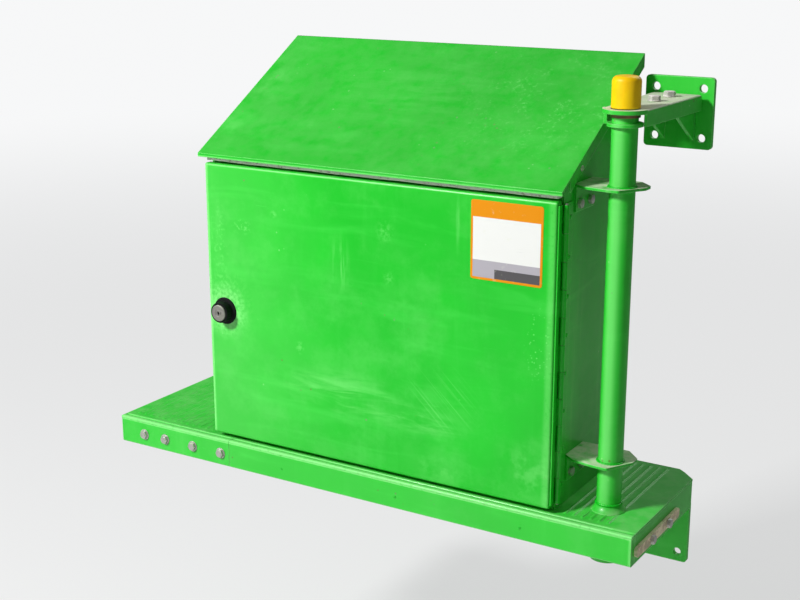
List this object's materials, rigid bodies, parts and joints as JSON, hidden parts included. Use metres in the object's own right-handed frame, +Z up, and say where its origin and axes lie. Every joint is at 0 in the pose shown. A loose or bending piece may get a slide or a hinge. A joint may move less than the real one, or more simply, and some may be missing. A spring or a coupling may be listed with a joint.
{
  "type": "swing-out tool locker on a step platform",
  "caption": "Hollow sheet-steel tool locker with a sloping roof and a hinged, latched door, on a ribbed step platform that swings on an upright post between two wall feet.",
  "frame": {"origin": "centre of the upper foot's four bolts, on the plane that both feet are bolted to", "axes": "+X along the platform towards the pivot post, +Y into the machine, +Z up"},
  "size_m": [0.996, 0.312, 0.8339],
  "materials": {
    "green_paint": "glossy green enamel on folded sheet steel",
    "zinc_steel": "zinc plated, dusty",
    "bush_bronze": "sintered bronze",
    "yellow_plastic": "moulded yellow plastic",
    "seal_rubber": "dusty foam rubber",
    "black_plastic": "moulded black plastic"
  },
  "bodies": {
    "root": {"wall_bracket": "green_paint", "upper_arm": "green_paint", "arm_bolts": "zinc_steel", "upper_bush": "bush_bronze", "lower_arm": "green_paint", "lower_bush": "bush_bronze", "thrust_washer": "zinc_steel"},
    "platform": {"post": "green_paint", "pivot_pin": "zinc_steel", "stop_ring": "green_paint", "base_ring": "green_paint", "post_cap": "yellow_plastic", "platform_frame": "green_paint", "extension_frame": "green_paint", "cross_members": "green_paint", "pivot_doubler": "green_paint", "tread_plate": "green_paint", "tread_extension": "green_paint", "splice_bar": "green_paint", "splice_bolts": "zinc_steel", "end_strap": "zinc_steel", "strap_bolts": "zinc_steel", "side_panels": "green_paint", "back_panel": "green_paint", "floor_panel": "green_paint", "roof": "green_paint", "front_frame": "green_paint", "door_seal": "seal_rubber", "weather_strip": "seal_rubber", "lower_lug": "green_paint", "upper_lug": "green_paint", "lug_bolts": "zinc_steel", "hinge_leaf_locker": "green_paint", "hinge_pin": "zinc_steel"},
    "door": {"door_skin": "green_paint", "door_stiffener": "green_paint", "latch": "black_plastic", "latch_cam": "zinc_steel", "hinge_leaf_door": "green_paint"}
  },
  "joints": [
    {"name": "platform_swing", "type": "hinge", "parent": "root", "child": "platform", "pos_m": [0, -0.222, 0], "axis": [0, 0, 1], "range_deg": [0, 90]},
    {"name": "door_swing", "type": "hinge", "parent": "platform", "child": "door", "pos_m": [-0.0627, -0.273, -0.34], "axis": [0, 0, 1], "range_deg": [0, 115]}
  ]
}
